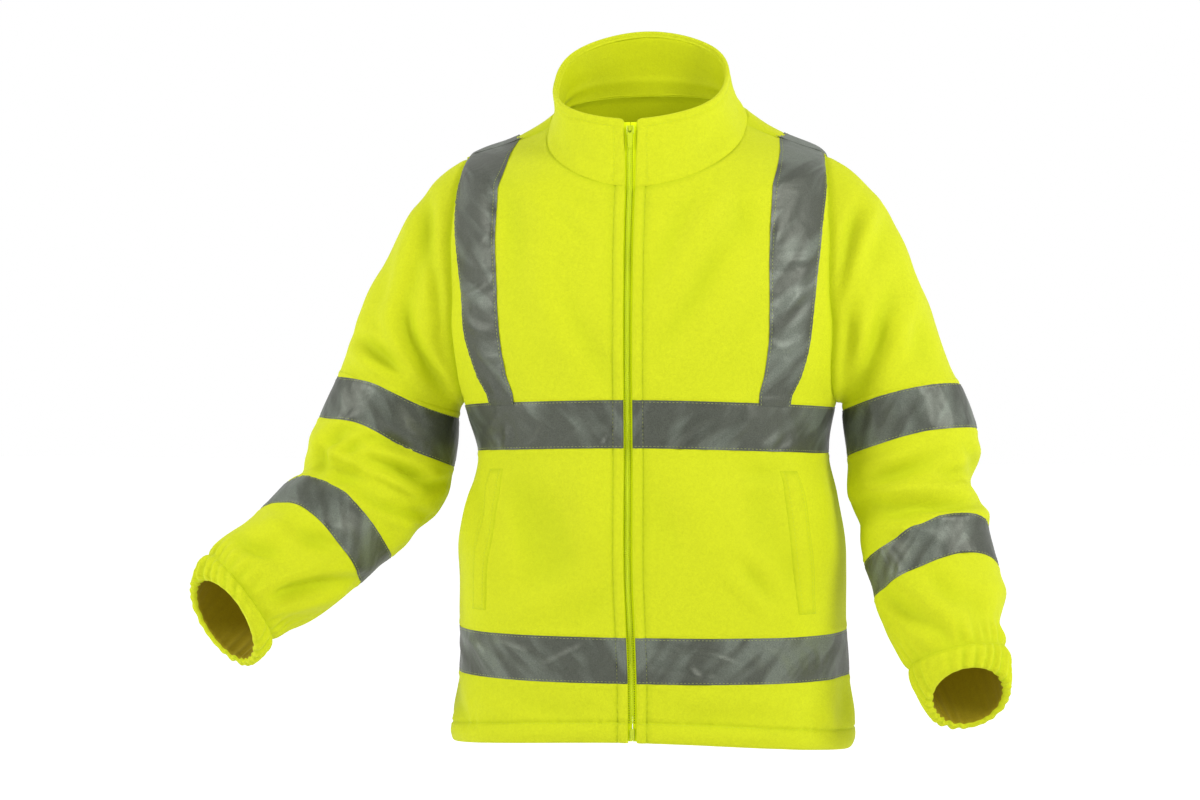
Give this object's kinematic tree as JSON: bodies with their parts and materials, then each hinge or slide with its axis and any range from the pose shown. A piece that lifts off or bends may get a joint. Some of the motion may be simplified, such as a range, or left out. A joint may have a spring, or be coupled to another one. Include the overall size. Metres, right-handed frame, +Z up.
{
  "type": "full-zip fleece sweatshirt",
  "caption": "High-visibility full-zip fleece sweatshirt with a stand collar, reflective bands and braces, gathered cuffs and side pockets, filled out as if worn and hollow inside.",
  "frame": {"origin": "between the shoulder blades' tops inside the yoke, where the wearer's shoulders hold the garment up", "axes": "+Z up along the wearer, -Y out of the front with the zip, +X to the wearer's left"},
  "size_m": [0.8776, 0.3216, 0.7799],
  "materials": {
    "fleece": "brushed fluorescent yellow-green polyester fleece, matt with a short nap",
    "reflective_tape": "satin grey glass-bead reflective tape, sewn on",
    "zip_tape": "woven polyester zip tape in the fleece's colour",
    "zip_plastic": "nylon coil and painted slider in a duller lime"
  },
  "bodies": {
    "garment": {"back": "fleece", "brace_back_left": "reflective_tape", "brace_back_right": "reflective_tape", "brace_front_left": "reflective_tape", "brace_front_right": "reflective_tape", "chest_band_back": "reflective_tape", "chest_band_front_left": "reflective_tape", "chest_band_front_right": "reflective_tape", "collar_inner": "fleece", "collar_outer": "fleece", "cuff_left": "fleece", "cuff_right": "fleece", "front_left": "fleece", "front_right": "fleece", "low_band_back": "reflective_tape", "low_band_front_left": "reflective_tape", "low_band_front_right": "reflective_tape", "pocket_welt_left": "fleece", "pocket_welt_right": "fleece", "sleeve_left": "fleece", "sleeve_right": "fleece", "sleeve_tape_lower_left": "reflective_tape", "sleeve_tape_lower_right": "reflective_tape", "sleeve_tape_upper_left": "reflective_tape", "sleeve_tape_upper_right": "reflective_tape", "zip_box": "zip_plastic", "zip_chain": "zip_plastic", "zip_slider": "zip_plastic", "zip_tape_left": "zip_tape", "zip_tape_right": "zip_tape"},
    "zip_pull": {"zip_pull": "zip_plastic"}
  },
  "joints": [
    {"name": "zip_pull_hinge", "type": "hinge", "parent": "garment", "child": "zip_pull", "pos_m": [-0.01012, -0.10578, 0.02033], "axis": [-0.9995, -0.0032, -0.0318], "range_deg": [0, 150]}
  ]
}
